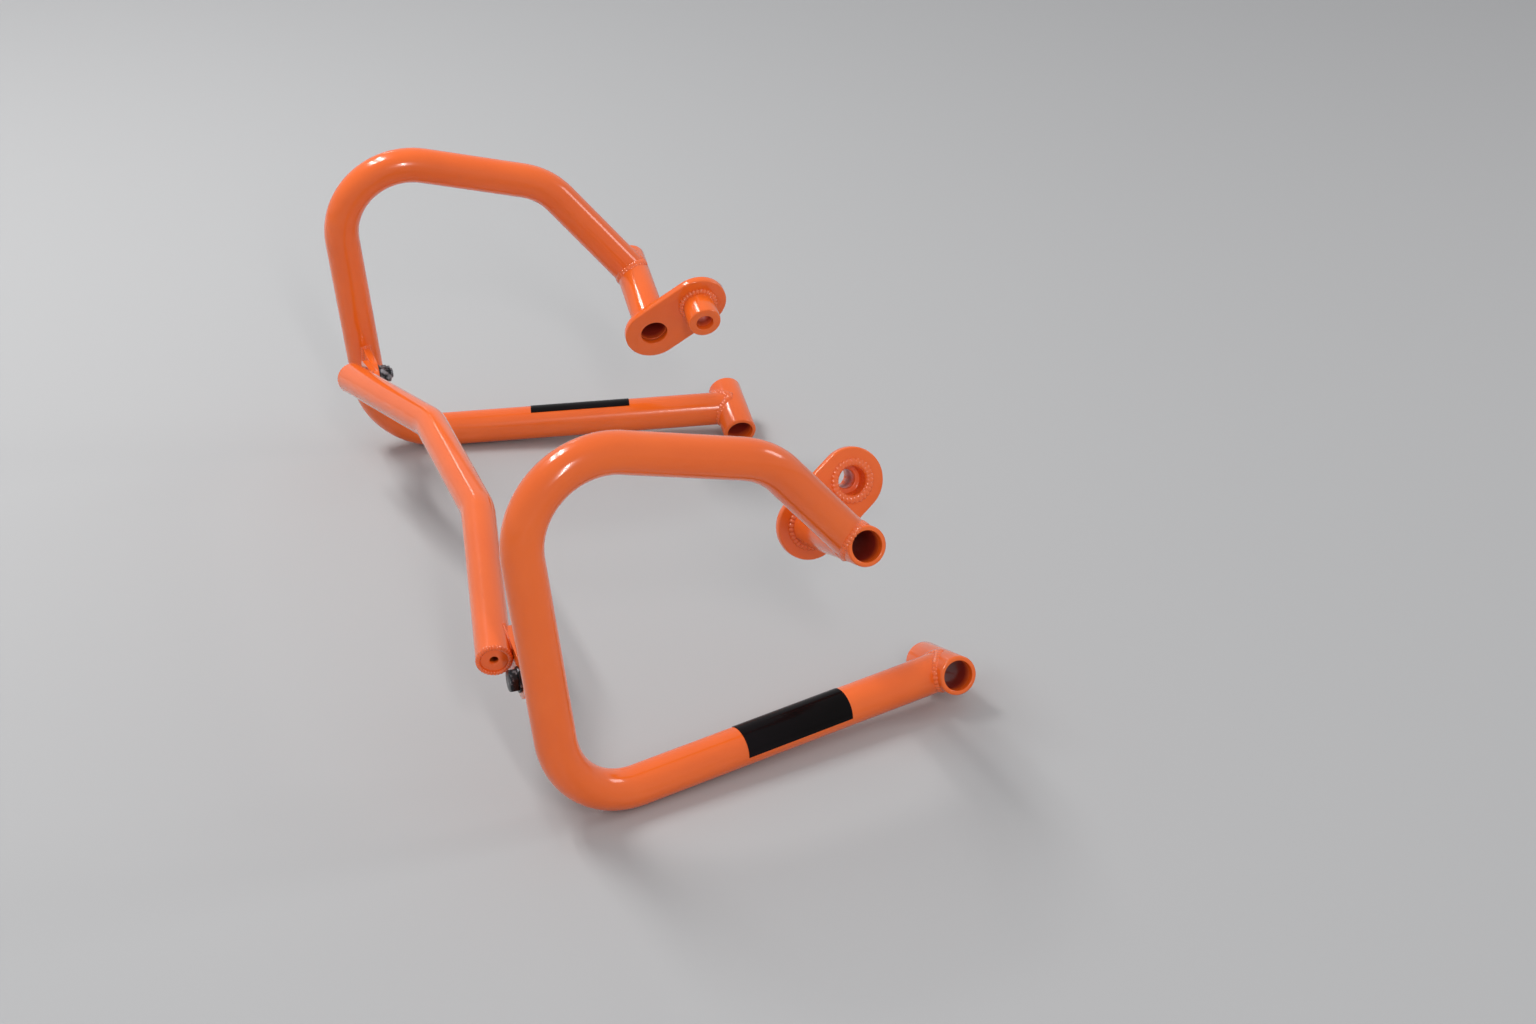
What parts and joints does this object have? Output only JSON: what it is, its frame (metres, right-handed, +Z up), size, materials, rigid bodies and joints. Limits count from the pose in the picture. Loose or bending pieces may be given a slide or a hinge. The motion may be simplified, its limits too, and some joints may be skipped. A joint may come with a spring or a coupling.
{
  "type": "motorcycle engine guard pair with front cross brace",
  "caption": "Left and right bent-tube engine guards for a motorcycle, joined at the front by a bolted cross brace, powder coated orange.",
  "frame": {"origin": "centre of the footprint on the floor, in the mirror plane between the two guards", "axes": "+X to the motorcycle's front, +Y to the rider's left, +Z up"},
  "size_m": [0.317, 0.5764, 0.2434],
  "materials": {
    "powder_coat": "gloss orange powder coat on steel",
    "label_black": "gloss black film",
    "fastener_black": "black zinc"
  },
  "bodies": {
    "root": {"left_guard_tube": "powder_coat", "left_lower_sleeve": "powder_coat", "left_upper_sleeve": "powder_coat", "left_mount_plate": "powder_coat", "left_step_boss": "powder_coat", "left_guard_lug": "powder_coat", "left_plate_welds": "powder_coat", "left_label": "label_black", "right_guard_tube": "powder_coat", "right_lower_sleeve": "powder_coat", "right_upper_sleeve": "powder_coat", "right_mount_plate": "powder_coat", "right_step_boss": "powder_coat", "right_guard_lug": "powder_coat", "right_plate_welds": "powder_coat", "right_label": "label_black", "brace_tube": "powder_coat", "left_brace_cap": "powder_coat", "right_brace_cap": "powder_coat", "left_brace_lug": "powder_coat", "right_brace_lug": "powder_coat", "brace_cap_welds": "powder_coat", "joint_bolts": "fastener_black", "joint_washers": "fastener_black", "joint_nuts": "fastener_black"}
  },
  "joints": []
}
